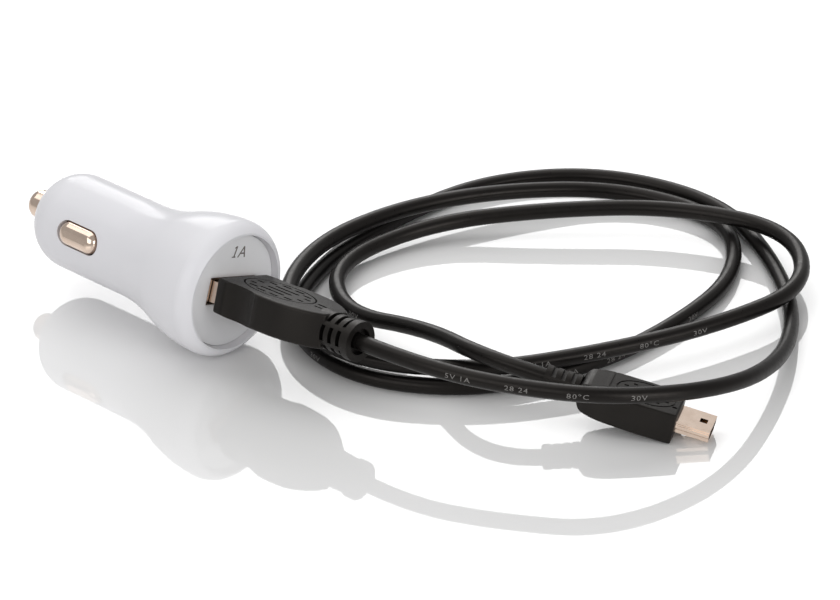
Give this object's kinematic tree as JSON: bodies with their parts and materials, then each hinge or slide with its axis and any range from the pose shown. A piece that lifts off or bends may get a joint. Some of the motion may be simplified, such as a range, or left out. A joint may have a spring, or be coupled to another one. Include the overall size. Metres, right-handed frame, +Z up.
{
  "type": "usb car charger with lead",
  "caption": "Round 12 V socket charger with a USB port, sprung nose and side contacts, and a plugged-in USB-A to mini-B lead in loose turns.",
  "frame": {"origin": "on the floor under the middle of the charger, half way from the nose pin's tip to the rim of the face", "axes": "+X along the round body from the nose towards the USB port, +Z up from the floor that the head and the lead rest on; the body is rolled 18 degrees about its own axis"},
  "size_m": [0.1575, 0.1348, 0.0298],
  "materials": {
    "white_gloss": "gloss",
    "white_satin": "satin",
    "nickel": "satin nickel plate",
    "spring_steel": "plain",
    "port_plastic": "matte",
    "gold_contact": "plated",
    "board_green": "solder mask",
    "ferrite": "matte",
    "copper": "enamelled",
    "capacitor_sleeve": "gloss",
    "chip_black": "matte",
    "tin": "tinned",
    "fuse_ceramic": "matte",
    "inner_plastic": "matte",
    "black_grip": "fine matte grain",
    "black_cord": "satin"
  },
  "bodies": {
    "charger": {"body_shell": "white_gloss", "face_plate": "white_satin", "centre_spring": "spring_steel", "spring_cup": "spring_steel", "ground_spring_near": "spring_steel", "ground_spring_far": "spring_steel", "usb_port_shell": "nickel", "usb_port_tongue": "port_plastic", "usb_port_contacts": "gold_contact", "circuit_board": "board_green", "inductor_core": "ferrite", "inductor_winding": "copper", "input_capacitor": "capacitor_sleeve", "output_capacitor": "capacitor_sleeve", "regulator_chip": "chip_black", "regulator_leads": "tin", "diode": "chip_black", "fuse": "fuse_ceramic", "chip_parts": "fuse_ceramic"},
    "nose_pin": {"centre_contact": "nickel"},
    "side_contact_near": {"ground_contact_near": "nickel"},
    "side_contact_far": {"ground_contact_far": "nickel"},
    "lead": {"usb_a_shell": "nickel", "usb_a_insulator": "port_plastic", "usb_a_contacts": "gold_contact", "usb_a_inner_mould": "inner_plastic", "usb_a_overmould": "black_grip", "cord": "black_cord", "mini_b_shell": "nickel", "mini_b_insulator": "port_plastic", "mini_b_contacts": "gold_contact", "mini_b_inner_mould": "inner_plastic", "mini_b_overmould": "black_grip"}
  },
  "joints": [
    {"name": "nose_pin_press", "type": "slide", "parent": "charger", "child": "nose_pin", "axis": [1, 0, 0], "range_m": [0, 0.003], "stiffness_N_per_m": 800, "springref_m": -0.002, "deforming": ["centre_spring"]},
    {"name": "side_contact_near_press", "type": "slide", "parent": "charger", "child": "side_contact_near", "axis": [0, 0.9511, -0.309], "range_m": [0, 0.0009], "stiffness_N_per_m": 1500, "springref_m": -0.001, "deforming": ["ground_spring_near"]},
    {"name": "side_contact_far_press", "type": "slide", "parent": "charger", "child": "side_contact_far", "axis": [0, -0.9511, 0.309], "range_m": [0, 0.0009], "stiffness_N_per_m": 1500, "springref_m": -0.001, "deforming": ["ground_spring_far"]},
    {"name": "plug_pull", "type": "slide", "parent": "charger", "child": "lead", "axis": [1, 0, 0], "range_m": [0, 0.02]}
  ]
}
